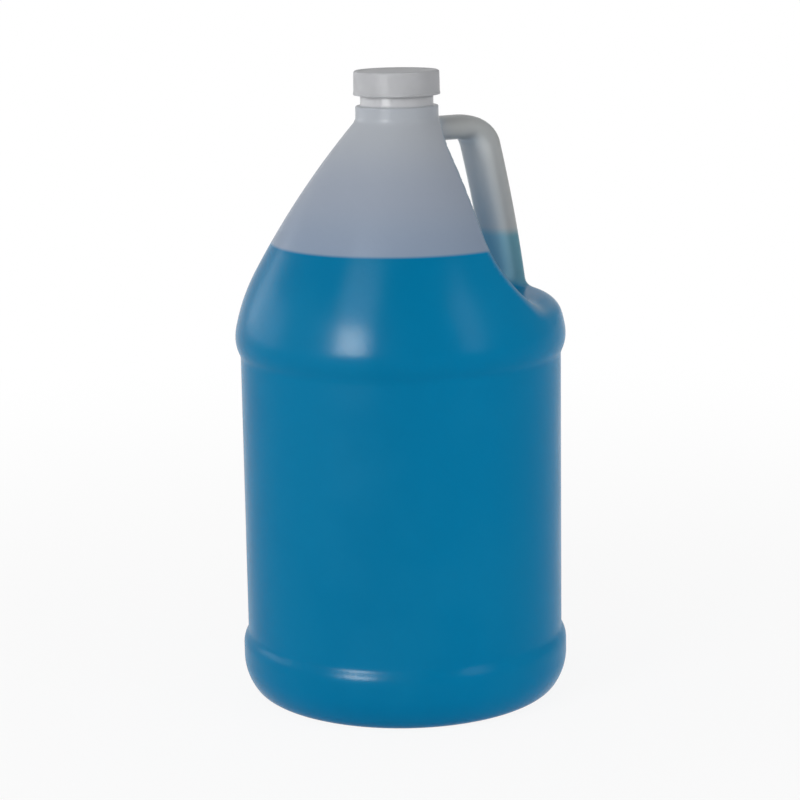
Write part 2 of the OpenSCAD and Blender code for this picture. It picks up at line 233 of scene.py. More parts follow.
def recess(x, y, z):
    """Distance to the space cut through the shoulder for the hand. Its floor is a ledge,
    whose round edge runs smoothly into the shoulder."""
    r = np.hypot(x, y)
    past = np.maximum(r - LEDGE_C[0], 0)
    floor = np.hypot(past, np.maximum(z - LEDGE_C[1], 0)) - LEDGE_EDGE_R
    below = np.maximum(LEDGE_C[1] + past * math.tan(LEDGE_A) - z, 0)
    floor = np.where(past > 0, floor - 3 * below, z - LEDGE_Z)
    low = rounded_corner(RECESS_X + RECESS_LOW_R - x, RECESS_LOW_R - floor, RECESS_LOW_R)
    high = rounded_corner(RECESS_X + RECESS_HIGH_R - x,
                          z - RECESS_TOP_Z + RECESS_HIGH_R, RECESS_HIGH_R)
    return np.maximum(low, high)


# %% Handle's middle line, in millimetres
BAR_T, GRIP_T, GRIP_W = 11.5, 15.8, 23.6
GRIP_INSET, GRIP_LEAN, GRIP_BOW, TURN_R = 16.8, 12.4, 1.2, 13.0
SECTION_POWER, BAR_GAP, BAR_START_X, GRIP_SINK = 2.3, 0.2, 3.6, 6
BAR_Z = RING_Z - RECESS_DROP - BAR_T / 2 - BAR_GAP
FOOT_X = ROLL_R - GRIP_INSET


def handle_line():
    """Points x and z, directions and half thickness along bar, turn and grip."""
    grip_l = BAR_Z - LEDGE_Z
    lean = math.tan(math.radians(GRIP_LEAN))

    def grip_x(h):
        return FOOT_X - h * lean + 4 * GRIP_BOW * (h / grip_l) * (1 - h / grip_l)

    top_slope = math.degrees(math.atan(lean + 4 * GRIP_BOW / grip_l))
    turn_a = 90 - top_slope
    turn_l = TURN_R * math.tan(math.radians(turn_a / 2))
    turn_x = grip_x(grip_l) - turn_l
    turn_h = grip_l - turn_l * math.cos(math.radians(top_slope))
    bar = [(x, BAR_Z) for x in np.linspace(BAR_START_X, turn_x, 68)[:-1]]
    turn = [(turn_x + TURN_R * math.sin(a), BAR_Z - TURN_R * (1 - math.cos(a)))
            for a in np.radians(np.linspace(0, turn_a, 36))[:-1]]
    grip = [(grip_x(h), LEDGE_Z + h) for h in np.linspace(turn_h, -GRIP_SINK, 140)]
    line = np.array(bar + turn + grip)
    along = np.gradient(line, axis=0)
    along /= np.linalg.norm(along, axis=1)[:, None]
    turned_by = np.degrees(np.arccos(np.clip(along[:, 0], -1, 1)))
    half = (BAR_T + (GRIP_T - BAR_T) * ease(turned_by, 0, turn_a)) / 2
    return line, along, half


LINE, ALONG, HALF = handle_line()
print("handle's middle line has", len(LINE), "points")

# %% Distance to the handle


def handle(x, y, z):
    """Distance to the swept handle, whose section is a rounded rectangle."""
    gap = np.full(x.shape, 30.0)
    near = (x > -6) & (np.abs(y) < 26) & (z > 172)
    if not near.any():
        return gap
    p = np.stack([x[near], z[near]], axis=1)
    k = np.empty(len(p), int)
    for start in range(0, len(p), 20000):
        part = p[start:start + 20000]
        far = ((part[:, None, :] - LINE[None]) ** 2).sum(2)
        k[start:start + 20000] = far.argmin(1)
    ahead = ((p - LINE[k]) * ALONG[k]).sum(1) > 0
    a = np.clip(np.where(ahead, k, k - 1), 0, len(LINE) - 2)
    span = LINE[a + 1] - LINE[a]
    share = np.clip(((p - LINE[a]) * span).sum(1) / (span ** 2).sum(1), 0, 1)[:, None]
    way = ALONG[a] * (1 - share) + ALONG[a + 1] * share
    off = p - (LINE[a] * (1 - share) + LINE[a + 1] * share)
    across = off[:, 1] * way[:, 0] - off[:, 0] * way[:, 1]
    half = HALF[a] * (1 - share[:, 0]) + HALF[a + 1] * share[:, 0]
    u = np.abs(across) / half + 1e-6
    v = np.abs(y[near]) / (GRIP_W / 2) + 1e-6
    size = (u ** SECTION_POWER + v ** SECTION_POWER) ** (1 / SECTION_POWER)
    slope = size ** (1 - SECTION_POWER) * np.hypot(
        u ** (SECTION_POWER - 1) / half, v ** (SECTION_POWER - 1) / (GRIP_W / 2))
    gap[near] = np.clip((size - 1) / slope, -12, 30)
    return gap


# %% The whole skin
CREASE_ROUND, LEDGE_ROUND = 0.8, 0.2
BAR_FILLET, BAR_FILLET_MORE, FOOT_FILLET, FOOT_FILLET_MORE = 0.6, 7.4, 3.0, 5.0


def blown_form(x, y, z, arcs, flats):
    """Distance to the blown form: the turned body, less the recess, with the handle."""
    body = turned(np.hypot(x, y), z, arcs, flats)
    rounding = CREASE_ROUND + (LEDGE_ROUND - CREASE_ROUND) * ease(x, 40, 62)
    body = trimmed(body, -recess(x, y, z), rounding)
    at_bar = BAR_FILLET + BAR_FILLET_MORE * ease(-z, -BAR_Z - 3, -BAR_Z + 5)
    at_foot = FOOT_FILLET + FOOT_FILLET_MORE * ease(-x, -FOOT_X - 4, -FOOT_X + 8)
    fillet = np.where(z > (BAR_Z + LEDGE_Z) / 2, at_bar, at_foot)
    return joined(body, handle(x, y, z), fillet)


def outer_skin(x, y, z):
    return blown_form(x, y, z, OUTER_ARCS, OUTER_FLATS)


def inner_skin(x, y, z):
    return blown_form(x, y, z, INNER_ARCS, INNER_FLATS) + WALL


def liquid_skin(x, y, z):
    return inner_skin(x, y, z) + FILL_GAP


# %% [markdown]
# ## Turning a distance into a mesh
# The field is sampled on a grid of small cells. Each cell that the skin passes through
# gets one point, put at the middle of the places where the skin crosses its edges, and
# neighbouring points are joined into four-sided faces. The points are then slid on to
# the exact skin along its slope and evened out, so the mesh carries smooth highlights.


def slope_of(field, points, reach=0.05):
    """Distance at each point, and the direction in which it grows."""
    x, y, z = points.T
    parts = [field(x + reach, y, z) - field(x - reach, y, z),
             field(x, y + reach, z) - field(x, y - reach, z),
             field(x, y, z + reach) - field(x, y, z - reach)]
    return field(x, y, z), np.stack(parts, axis=1) / (2 * reach)


def slide_on(field, points, times):
    """Move points on to the skin."""
    for _ in range(times):
        gap, slope = slope_of(field, points)
        steep = np.maximum((slope ** 2).sum(1), 0.2)
        points = points - (np.clip(gap, -1, 1) / steep)[:, None] * slope
    return points


def net(field, low, high, step):
    """Points and four-sided faces of the skin in a box. The box's top stays open."""
    counts = np.ceil((np.array(high) - low) / step).astype(int)
    start = np.array(high) - counts * step
    ticks = [start[i] + step * np.arange(counts[i] + 1) for i in range(3)]
    values = np.empty(counts + 1, np.float64)
    for k, z in enumerate(ticks[2]):
        x, y = np.meshgrid(ticks[0], ticks[1], indexing="ij")
        values[:, :, k] = field(x.ravel(), y.ravel(), np.full(x.size, z)).reshape(x.shape)
    inside = values < 0
    sums = np.zeros((counts.prod(), 3))
    hits = np.zeros(counts.prod())
    quads = []
    for axis in range(3):
        b, c = (axis + 1) % 3, (axis + 2) % 3
        step_on = np.eye(3, dtype=int)
        lower = tuple(slice(0, -1) if i == axis else slice(None) for i in range(3))
        upper = tuple(slice(1, None) if i == axis else slice(None) for i in range(3))
        edges = np.argwhere(inside[lower] != inside[upper])
        v0 = values[tuple(edges.T)]
        v1 = values[tuple((edges + step_on[axis]).T)]
        places = start + step * (edges + (v0 / (v0 - v1))[:, None] * step_on[axis])
        around, whole = [], np.ones(len(edges), bool)
        for db, dc in ((-1, -1), (0, -1), (0, 0), (-1, 0)):
            cell = edges + db * step_on[b] + dc * step_on[c]
            fits = ((cell >= 0) & (cell < counts)).all(1)
            flat = np.ravel_multi_index(np.where(fits[:, None], cell, 0).T, counts)
            np.add.at(sums, flat[fits], places[fits])
            np.add.at(hits, flat[fits], 1)
            around.append(flat)
            whole &= fits
        faces = np.stack(around, axis=1)
        faces[v0 > 0] = faces[v0 > 0][:, ::-1]
        quads.append(faces[whole])
    used = np.flatnonzero(hits)
    place = np.full(counts.prod(), -1)
    place[used] = np.arange(len(used))
    return sums[used] / hits[used, None], place[np.concatenate(quads)]


def rims(quads):
    """Open edges of a mesh, as loops of point numbers."""
    a = quads.ravel()
    b = np.roll(quads, -1, axis=1).ravel()
    pairs = set(zip(a.tolist(), b.tolist()))
    after = {p: q for p, q in pairs if (q, p) not in pairs}
    loops = []
    while after:
        first, here = next(iter(after.items()))
        del after[first]
        loop = [first]
        while here != first:
            loop.append(here)
            here = after.pop(here)
        loops.append(loop)
    return loops


def evened(field, points, quads, times):
    """Even out the mesh along the skin. Its open edges stay where they are."""
    a = quads.ravel()
    b = np.roll(quads, -1, axis=1).ravel()
    held = np.zeros(len(points), bool)
    for loop in rims(quads):
        held[loop] = True
    count = np.bincount(a, minlength=len(points)) + np.bincount(b, minlength=len(points))
    for _ in range(times):
        sums = np.zeros_like(points)
        np.add.at(sums, a, points[b])
        np.add.at(sums, b, points[a])
        middle = sums / np.maximum(count, 1)[:, None]
        points = np.where(held[:, None], points, 0.5 * (points + middle))
        points = slide_on(field, points, 1)
    return points


def skin_mesh(field, low, high, step):
    """The finished points and faces of one skin."""
    points, quads = net(field, low, high, step)
    points = slide_on(field, points, 3)
    points = evened(field, points, quads, 2)
    return slide_on(field, points, 1), quads


# %% Mesh helpers


def stacked_rings(loop, profile, above):
    """Rings of points above an open loop: one ring for each (radius, height)."""
    angle = np.arctan2(loop[:, 1], loop[:, 0])
    rings = [np.stack([r * np.cos(angle), r * np.sin(angle), np.full(len(angle), z)], axis=1)
             for r, z in profile]
    n = len(loop)
    faces = []
    for i in range(len(profile)):
        base = above + (i - 1) * n
        for k in range(n):
            j = (k + 1) % n
            faces.append((base + k, base + j, base + n + j, base + n + k))
    return np.concatenate(rings), faces


def make_piece(name, points, faces, body, slot, nodes):
    """A finished piece in metres, which rides on its body and stands for its solids."""
    mesh = bpy.data.meshes.new(name)
    mesh.from_pydata((np.asarray(points) * 0.001).tolist(), [], [tuple(f) for f in faces])
    mesh.validate()
    mesh.shade_smooth()
    piece = bpy.data.objects.new(name, mesh)
    bpy.context.scene.collection.objects.link(piece)
    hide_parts(*nodes)
    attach(piece, body)
    print(name, "has", len(mesh.vertices), "points and", len(mesh.polygons), "faces")
    return piece


def swept_ridge(root, crest, root_w, crest_w, z0, a0, a1, step=8, fade_a=36):
    """A thread ridge on a helix, faded at both ends. Points and faces."""
    points, faces = [], []
    count = round((a1 - a0) / step)
    for i in range(count + 1):
        a = a0 + (a1 - a0) * i / count
        fade = min(1, (a - a0) / fade_a, (a1 - a) / fade_a)
        r = root + (crest - root) * (0.1 + 0.9 * fade)
        z = z0 + THREAD_PITCH * a / 360
        ring = [(root, -root_w / 2), (r, -crest_w / 2), (r, crest_w / 2), (root, root_w / 2)]
        if crest < root:
            ring.reverse()
        for pr, pz in ring:
            points.append((pr * unit(a)[0], pr * unit(a)[1], z + pz))
    for i in range(count):
        for k in range(4):
            j = (k + 1) % 4
            faces.append((i * 4 + k, i * 4 + j, i * 4 + 4 + j, i * 4 + 4 + k))
    faces.append((3, 2, 1, 0))
    faces.append(tuple(4 * count + k for k in range(4)))
    return np.array(points), faces


# %% [markdown]
# ## Jug body
# The real body is one skin of plastic about a millimetre thick. Its outside and its
# inside are meshed apart, and the turned neck, made of rings stacked on their open rims,
# joins the two into one closed wall. The thread is a separate ridge that sits a little
# way into the neck, as in the solids.

# %% Outside and inside of the blown skin
FINE = 1.7
COARSE = 3.2
outer_points, outer_quads = skin_mesh(outer_skin, (-82, -82, -2), (82, 82, RING_Z), FINE)
inner_points, inner_quads = skin_mesh(inner_skin, (-81, -81, -2), (81, 81, RING_Z + 2), COARSE)
outer_rims, inner_rims = rims(outer_quads), rims(inner_quads)
print("outside", len(outer_quads), "faces,", len(outer_rims), "rim; inside",
      len(inner_quads), "faces,", len(inner_rims), "rim")

# %% Neck, and one closed wall
neck_outside = [(RING_R, RING_Z), (RING_R, RING_TOP_Z - 1.4), (RING_R, RING_TOP_Z - 0.7),
                (RING_R - 0.1, RING_TOP_Z - 0.35), (RING_R - 0.35, RING_TOP_Z - 0.08),
                (RING_R - 0.7, RING_TOP_Z), (NECK_R + 0.9, RING_TOP_Z),
                (NECK_R + 0.5, RING_TOP_Z + 0.05), (NECK_R + 0.15, RING_TOP_Z + 0.3),
                (NECK_R, RING_TOP_Z + 0.8), (NECK_R, LIP_Z - 1.4), (NECK_R, LIP_Z - 0.6),
                (NECK_R - 0.18, LIP_Z - 0.18), (NECK_R - 0.6, LIP_Z), (BORE_R + 0.3, LIP_Z),
                (BORE_R + 0.08, LIP_Z - 0.1), (BORE_R, LIP_Z - 0.4)]
neck_inside = [(BORE_R, LIP_Z - 1.2), (BORE_R, RING_TOP_Z), (BORE_R, RING_Z + 3)]


def zipped(low_loop, low_at, high_loop, high_at):
    """Triangles between two rings of points that run the same way round."""
    low_a = np.arctan2(low_loop[:, 1], low_loop[:, 0])
    high_a = np.arctan2(high_loop[:, 1], high_loop[:, 0])
    low_order, high_order = np.argsort(low_a), np.argsort(high_a)
    n, m = len(low_a), len(high_a)
    i = j = 0
    faces = []
    while i < n or j < m:
        next_low = low_a[low_order[(i + 1) % n]] + (2 * math.pi if i + 1 >= n else 0)
        next_high = high_a[high_order[(j + 1) % m]] + (2 * math.pi if j + 1 >= m else 0)
        a, b = low_at[low_order[i % n]], high_at[high_order[j % m]]
        if j >= m or (i < n and next_low < next_high):
            faces.append((a, low_at[low_order[(i + 1) % n]], b))
            i += 1
        else:
            faces.append((a, high_at[high_order[(j + 1) % m]], b))
            j += 1
    return faces


def outside_wall():
    """Points and faces of the outside, with neck, lip, bore and the ridge on the neck."""
    rim = np.array(outer_rims[0])
    rim = rim[np.argsort(np.arctan2(outer_points[rim][:, 1], outer_points[rim][:, 0]))]
    at, n = len(outer_points), len(rim)
    rings, more = stacked_rings(outer_points[rim], neck_outside + neck_inside, at)
    faces = [tuple(q) for q in outer_quads]
    for f in more:
        faces.append(tuple(int(rim[v - (at - n)]) if v < at else v for v in f))
    at += len(rings)
    ridge, ridge_faces = swept_ridge(NECK_R - THREAD_SINK, THREAD_CREST_R, 2.4, 1.2,
                                     THREAD_Z, 0, THREAD_A)
    faces += [tuple(v + at for v in f) for f in ridge_faces]
    return np.concatenate([outer_points, rings, ridge]), faces, rings[-n:]


def inside_wall(bore_rim):
    """Points and faces of the inside, which starts at the lowest ring of the bore."""
    rim = np.array(inner_rims[0])
    n = len(inner_points)
    faces = [tuple(int(v) for v in q[::-1]) for q in inner_quads]
    faces += [f[::-1] for f in zipped(inner_points[rim], rim, bore_rim,
                                      n + np.arange(len(bore_rim)))]
    return np.concatenate([inner_points, bore_rim]), faces


wall_points, wall_faces, bore_rim = outside_wall()
wall_nodes = [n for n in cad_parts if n.startswith("jug_")]
jug = make_piece("jug_outside", wall_points, wall_faces, "jug", "milky_plastic", wall_nodes)
inside = make_piece("jug_inside", *inside_wall(bore_rim), "jug", "milky_plastic", wall_nodes)

# %% Marks for the finish: where the handle is, and the painted highlight along the crease
# Share, width and depth of the painted highlight along the crease of the recess.
CREASE_HIGHLIGHT_SHARE, CREASE_W, CREASE_DEPTH = 0.5, 2.6, 6


def marks_on(points):
    """For each point, how far it belongs to the handle, and how much of the painted highlight
    along the crease of the recess it takes.
    """
    x, y, z = points.T
    in_handle = 1 - ease(handle(x, y, z), -0.5, 5)
    in_handle *= ease(z + np.maximum(x - RECESS_X, 0) * 0.2, LEDGE_Z - 2, LEDGE_Z + 18)
    in_handle *= ease(x, RECESS_X + 2, RECESS_X + 16)
    depth = np.abs(turned(np.hypot(x, y), z, OUTER_ARCS, OUTER_FLATS))
    # Paler colour along the crease of the recess: a painted highlight, fading with depth and
    # below the ledge.
    crease_painted_highlight = 1 - ease(np.abs(recess(x, y, z)), 0.2, CREASE_W)
    crease_painted_highlight = crease_painted_highlight * (1 - ease(depth, 0.5, CREASE_DEPTH))
    crease_painted_highlight *= CREASE_HIGHLIGHT_SHARE * (1 - in_handle) * (1 - ease(x, 62, 77))
    crease_painted_highlight *= ease(z, LEDGE_Z - 7, LEDGE_Z)
    return {"in_handle": in_handle, "crease_painted_highlight": crease_painted_highlight}


for name, share in marks_on(wall_points).items():
    marks = jug.data.attributes.new(name, "FLOAT", "POINT")
    marks.data.foreach_set("value", share.astype(np.float32))
    print(name, "reaches", round(float(share.max()), 3))

# %% [markdown]
# ## Liquid
# The liquid fills body and handle to one level. It is the same form, a wall's thickness
# and a hair smaller, cut level at the top. The cut leaves two open rims, one round the
# body and one in the handle, and each is closed by a flat surface.

# %% Liquid
LIQUID_STEP = 2.6


def level_liquid():
    """Points and faces of the liquid, with its level surfaces."""
    points, quads = skin_mesh(liquid_skin, (-81, -81, -2), (81, 81, FILL_H), LIQUID_STEP)
    faces = [tuple(q) for q in quads]
    points = list(points)
    for loop in rims(quads):
        first = len(points)
        edge = np.array([points[i] for i in loop])
        edge[:, 2] = FILL_H
        flat = slide_on(liquid_skin, edge, 2)
        flat[:, 2] = FILL_H
        points.extend(flat)
        n = len(loop)
        for k in range(n):
            j = (k + 1) % n
            faces.append((loop[j], loop[k], first + k, first + j))
        faces.append(tuple(first + k for k in range(n))[::-1])
    return np.array(points), faces


liquid_points, liquid_faces = level_liquid()
liquid = make_piece("blue_liquid_fill", liquid_points, liquid_faces, "jug", "liquid",
                    ["blue_liquid"])

# %% [markdown]
# ## Liner and cap
# The cap is moulded in hard plastic: a skirt with a little draft, a thin bead at its lower
# edge, a soft top edge and a thread inside. A foam disc in its top seals the lip. Both are
# turned, so their sections are drawn once and spun, with small roundings in the outline.

# %% Spin helper
SPIN = 192


def spun(section):
    """Spin a closed (radius, height) outline. Points on the axis are shared."""
    points, rows = [], []
    for r, z in section:
        if r < 1e-6:
            rows.append([len(points)] * SPIN)
            points.append((0, 0, z))
        else:
            rows.append([len(points) + k for k in range(SPIN)])
            points.extend((r * math.cos(a), r * math.sin(a), z)
                          for a in 2 * np.pi * np.arange(SPIN) / SPIN)
    faces = []
    for i in range(len(rows)):
        low, high = rows[i], rows[(i + 1) % len(rows)]
        for k in range(SPIN):
            j = (k + 1) % SPIN
            face = [low[k], low[j], high[j], high[k]]
            face = [v for n, v in enumerate(face) if v not in face[:n]]
            if len(face) > 2:
                faces.append(tuple(face))
    return np.array(points), faces


def rounded(section, radii, steps=5):
    """An outline with its corners rounded, where radii gives one for each corner."""
    out = []
    for i, (corner, radius) in enumerate(zip(section, radii)):
        corner = np.array(corner, float)
        if radius <= 0:
            out.append(tuple(corner))
            continue
        to_last = np.array(section[i - 1]) - corner
        to_next = np.array(section[(i + 1) % len(section)]) - corner
        to_last /= np.linalg.norm(to_last)
        to_next /= np.linalg.norm(to_next)
        half = math.acos(np.clip(to_last @ to_next, -1, 1)) / 2
        a = corner + to_last * radius / math.tan(half)
        b = corner + to_next * radius / math.tan(half)
        middle = corner + (to_last + to_next) / np.linalg.norm(to_last + to_next) * (
            radius / math.sin(half))
        for s in np.linspace(0, 1, steps + 1):
            p = a * (1 - s) + b * s - middle
            out.append(tuple(middle + p / np.linalg.norm(p) * radius))
    return out


# %% Cap and liner
CAP_R, CAP_TOP_R, CAP_H, CAP_TOP_T = 20.6, 20.25, 11.4, 1.3
LINER_T, SKIRT_R = 1.0, 18.95
THREAD_CLEARANCE, CAP_THREAD_FROM, CAP_THREAD_TO = 0.3, 120, 540
DISH_R, DISH_T = 17.3, 0.25
CAP_TOP_Z = LIP_Z + LINER_T + CAP_TOP_T
CAP_Z = CAP_TOP_Z - CAP_H
CEILING_Z = LIP_Z + LINER_T

cap_section = rounded(
    [(0, CEILING_Z), (SKIRT_R, CEILING_Z), (SKIRT_R, CAP_Z), (CAP_R, CAP_Z),
     (CAP_R, CAP_Z + 1.0), (CAP_R - 0.18, CAP_Z + 1.25), (CAP_TOP_R, CAP_TOP_Z),
     (DISH_R + 0.6, CAP_TOP_Z), (DISH_R, CAP_TOP_Z - DISH_T), (0, CAP_TOP_Z - DISH_T)],
    [0, 0, 0.2, 0.3, 0.15, 0.15, 1.1, 0.4, 0.4, 0])
cap_points, cap_faces = spun(cap_section)
ridge, ridge_faces = swept_ridge(
    SKIRT_R + THREAD_SINK, NECK_R + THREAD_CLEARANCE, 2.0, 1.0,
    THREAD_Z - THREAD_PITCH / 2, CAP_THREAD_FROM, CAP_THREAD_TO)
cap_faces = cap_faces + [tuple(v + len(cap_points) for v in f) for f in ridge_faces]
cap_points = np.concatenate([cap_points, ridge])
cap = make_piece("white_cap", cap_points, cap_faces, "cap", "cap_plastic", ["screw_cap"])

liner_section = rounded([(0, LIP_Z), (SKIRT_R - 0.25, LIP_Z), (SKIRT_R - 0.25, CEILING_Z),
                         (0, CEILING_Z)], [0, 0.15, 0.15, 0], 3)
liner_points, liner_faces = spun(liner_section)
liner = make_piece("foam_liner", liner_points, liner_faces, "liner", "liner_foam",
                   ["cap_liner"])

# %% [markdown]
# ## Milky plastic over liquid
# The wall is natural plastic: it lets light in, scatters it and gives it back softly. Where
# liquid wets the inside, the light that comes back has passed through the liquid and is
# deep blue. Above the liquid it is a pale grey-blue, and in the thin handle nearly grey,
# or teal where there is little liquid behind it. Real scattering would be slow and grainy
# here, so the wall gets the colour of the light that comes back, set by height above the
# table and by where the handle is. Light and shade are painted into that colour too: the
# wet blue is painted lighter on the camera's right against the left lamp's shading, the
# grip's inner side, in the body's shade, and the neck above the ring, in the cap's shadow,
# are painted paler, and a painted highlight runs along the crease of the recess.
# The pale rims come from gloss at low angles, as on the real wall. Faint clouds in the
# colour and a fine unevenness stand for uneven blowing.

# %% Material helpers


def colour(r, g, b):
    """A screen colour from 0 to 255, as the linear value that shaders take."""
    def linear(v):
        v /= 255
        return v / 12.92 if v <= 0.04045 else ((v + 0.055) / 1.055) ** 2.4
    return (linear(r), linear(g), linear(b), 1)


def new_finish(name, roughness, shine):
    """A material with its plastic shader, its node tree and the tree's links."""
    finish = bpy.data.materials.new(name)
    finish.use_nodes = True
    shader = finish.node_tree.nodes["Principled BSDF"]
    shader.inputs["Roughness"].default_value = roughness
    shader.inputs["Specular IOR Level"].default_value = shine
    return finish, shader, finish.node_tree.nodes, finish.node_tree.links


def give(links, value, socket):
    """Give a socket a constant, or what comes out of another socket."""
    if isinstance(value, bpy.types.NodeSocket):
        links.new(value, socket)
    else:
        socket.default_value = value


def mixed(nodes, links, share, first, second):
    """A colour between two, each a colour or a socket, by a share from a socket."""
    node = nodes.new("ShaderNodeMix")
    node.data_type = "RGBA"
    links.new(share, node.inputs["Factor"])
    for name, value in (("A", first), ("B", second)):
        give(links, value, [s for s in node.inputs if s.name == name and s.type == "RGBA"][0])
    return [s for s in node.outputs if s.type == "RGBA"][0]


def blended(nodes, links, share, first, second):
    """A number between two, each a number or a socket, by a share from a socket."""
    node = nodes.new("ShaderNodeMix")
    links.new(share, node.inputs["Factor"])
    give(links, first, node.inputs["A"])
    give(links, second, node.inputs["B"])
    return node.outputs["Result"]


def maths(nodes, links, operation, first, second):
    """Two numbers or sockets, multiplied or compared."""
    node = nodes.new("ShaderNodeMath")
    node.operation = operation
    give(links, first, node.inputs[0])
    give(links, second, node.inputs[1])
    return node.outputs[0]


def reach(nodes, links, vector, direction):
    """How far a vector reaches in this direction."""
    node = nodes.new("ShaderNodeVectorMath")
    node.operation = "DOT_PRODUCT"
    node.inputs[1].default_value = direction
    links.new(vector, node.inputs[0])
    return node.outputs["Value"]


def mark(nodes, name):
    """What is marked on the mesh under this name."""
    node = nodes.new("ShaderNodeAttribute")
    node.attribute_name = name
    return node.outputs["Fac"]


def ranged(nodes, links, value, start, end, low=0.0, high=1.0, kind="SMOOTHSTEP"):
    """A value mapped from start..end to low..high."""
    node = nodes.new("ShaderNodeMapRange")
    node.interpolation_type = kind
    links.new(value, node.inputs["Value"])
    for name, number in (("From Min", start), ("From Max", end), ("To Min", low),
                         ("To Max", high)):
        node.inputs[name].default_value = number
    return node.outputs["Result"]


def cloud(nodes, links, place, scale, detail=2.0):
    """A noise pattern's value, from about 0.3 to 0.7."""
    node = nodes.new("ShaderNodeTexNoise")
    node.inputs["Scale"].default_value = scale
    node.inputs["Detail"].default_value = detail
    links.new(place, node.inputs["Vector"])
    return node.outputs[0]


def uneven(nodes, links, shader, height, strength, depth):
    """A fine unevenness of the surface, as a bump of this depth in metres."""
    bump = nodes.new("ShaderNodeBump")
    bump.inputs["Strength"].default_value = strength
    bump.inputs["Distance"].default_value = depth
    links.new(height, bump.inputs["Height"])
    links.new(bump.outputs["Normal"], shader.inputs["Normal"])


# %% Milky plastic
DEEP_BLUE = colour(0, 119, 165)
# Painted light: the lighter blue painted on the wet wall's right side, against the left lamp's
# shading.
PAINTED_LIGHT_BLUE = colour(0, 136, 188)
PALE_BLUE = colour(40, 150, 190)
HEAD_TOP = colour(182, 187, 194)
HEAD_MIDDLE = colour(162, 171, 186)
HEAD_LOW = colour(146, 161, 182)
# Painted light: the paler grey painted on the neck above the ring, in the cap's shadow.
NECK_PAINTED_LIGHT_GREY = colour(206, 207, 210)
GRIP_GREY = colour(184, 187, 187)
# Painted light: the paler grey painted on the grip's inner side, which lies in the body's shade.
GRIP_GREY_PAINTED_LIGHT = colour(244, 246, 244)
GRIP_TEAL = colour(110, 160, 176)
# Painted light: the paler teal painted on the grip's inner side, which lies in the body's shade.
GRIP_TEAL_PAINTED_LIGHT = colour(180, 232, 246)
# Painted highlight: the paler colour along the crease of the recess.
CREASE_PAINTED_HIGHLIGHT = colour(150, 178, 198)


LEVEL, RING_TOP = FILL_H * 0.001, RING_TOP_Z * 0.001


def head_colour(nodes, links, height):
    """Grey-blue above the liquid, paler towards the neck, and painted light on the neck above
    the ring, where the cap's shadow falls.
    """
    low = ranged(nodes, links, height, LEVEL, LEVEL + 0.03)
    high = ranged(nodes, links, height, LEVEL + 0.025, LEVEL + 0.058)
    # The neck above the ring, in the cap's shadow, is painted paler as painted light.
    neck = ranged(nodes, links, height, RING_TOP - 0.0005, RING_TOP + 0.0008)
    head = mixed(nodes, links, low, HEAD_LOW, HEAD_MIDDLE)
    head = mixed(nodes, links, high, head, HEAD_TOP)
    return mixed(nodes, links, neck, head, NECK_PAINTED_LIGHT_GREY)


def wet_colour(nodes, links, place, clouds):
    """Deep blue, painted lighter towards the camera's right: painted light against the shading
    from the left lamp.
    """
    across = reach(nodes, links, place, TO_RIGHT)
    wet = mixed(nodes, links, ranged(nodes, links, across, -0.02, 0.072), DEEP_BLUE, PAINTED_LIGHT_BLUE)
    return mixed(nodes, links, ranged(nodes, links, clouds, 0, 1, 0, 0.07), wet, PALE_BLUE)


def grip_colour(nodes, links, height, normal):
    """Grey or teal, painted paler on the inner side, which faces the body and lies in its shade:
    painted light that stands in for light passing through the hollow grip.
    """
    # A share of painted light: the grip's inner side, facing the body and lying in its shade, is
    # painted paler.
    through = ranged(nodes, links, reach(nodes, links, normal, (1, 0, 0)), 0, -0.8)
    teal = mixed(nodes, links, through, GRIP_TEAL, GRIP_TEAL_PAINTED_LIGHT)
    grey = mixed(nodes, links, through, GRIP_GREY, GRIP_GREY_PAINTED_LIGHT)
    dry = ranged(nodes, links, height, LEVEL - 0.003, LEVEL + 0.003)
    return mixed(nodes, links, dry, teal, grey)


def milky_plastic():
    """Milky wall, with the colour of what is behind it, and with painted light and a painted
    highlight.
    """
    finish, shader, nodes, links = new_finish("milky_plastic", 0.25, 0.04)
    coords = nodes.new("ShaderNodeTexCoord")
    place = coords.outputs["Object"]
    height = reach(nodes, links, place, (0, 0, 1))
    clouds = ranged(nodes, links, cloud(nodes, links, place, 22), 0.35, 0.65)
    dry = ranged(nodes, links, height, LEVEL - 0.0007, LEVEL + 0.0009)
    body = mixed(nodes, links, dry, wet_colour(nodes, links, place, clouds),
                 head_colour(nodes, links, height))
    body = mixed(nodes, links, mark(nodes, "in_handle"), body,
                 grip_colour(nodes, links, height, coords.outputs["Normal"]))
    # A painted highlight along the crease of the recess.
    body = mixed(nodes, links, mark(nodes, "crease_painted_highlight"), body, CREASE_PAINTED_HIGHLIGHT)
    links.new(body, shader.inputs["Base Color"])
    links.new(ranged(nodes, links, clouds, 0, 1, 0.22, 0.27), shader.inputs["Roughness"])
    uneven(nodes, links, shader, cloud(nodes, links, place, 420, 3), 0.12, 0.0004)
    return finish


wall_finish = milky_plastic()
jug.data.materials.append(wall_finish)
inside.data.materials.append(wall_finish)

# %% [markdown]
# ## Liquid, foam and cap plastic
# The liquid is a clear deep blue with a wet shine, seen when the wall is cut open or made
# clear. The liner is closed-cell foam, matt and finely pored. The cap is opaque white
# plastic with a satin surface, a little uneven where it was moulded.

# %% Liquid, foam and cap plastic


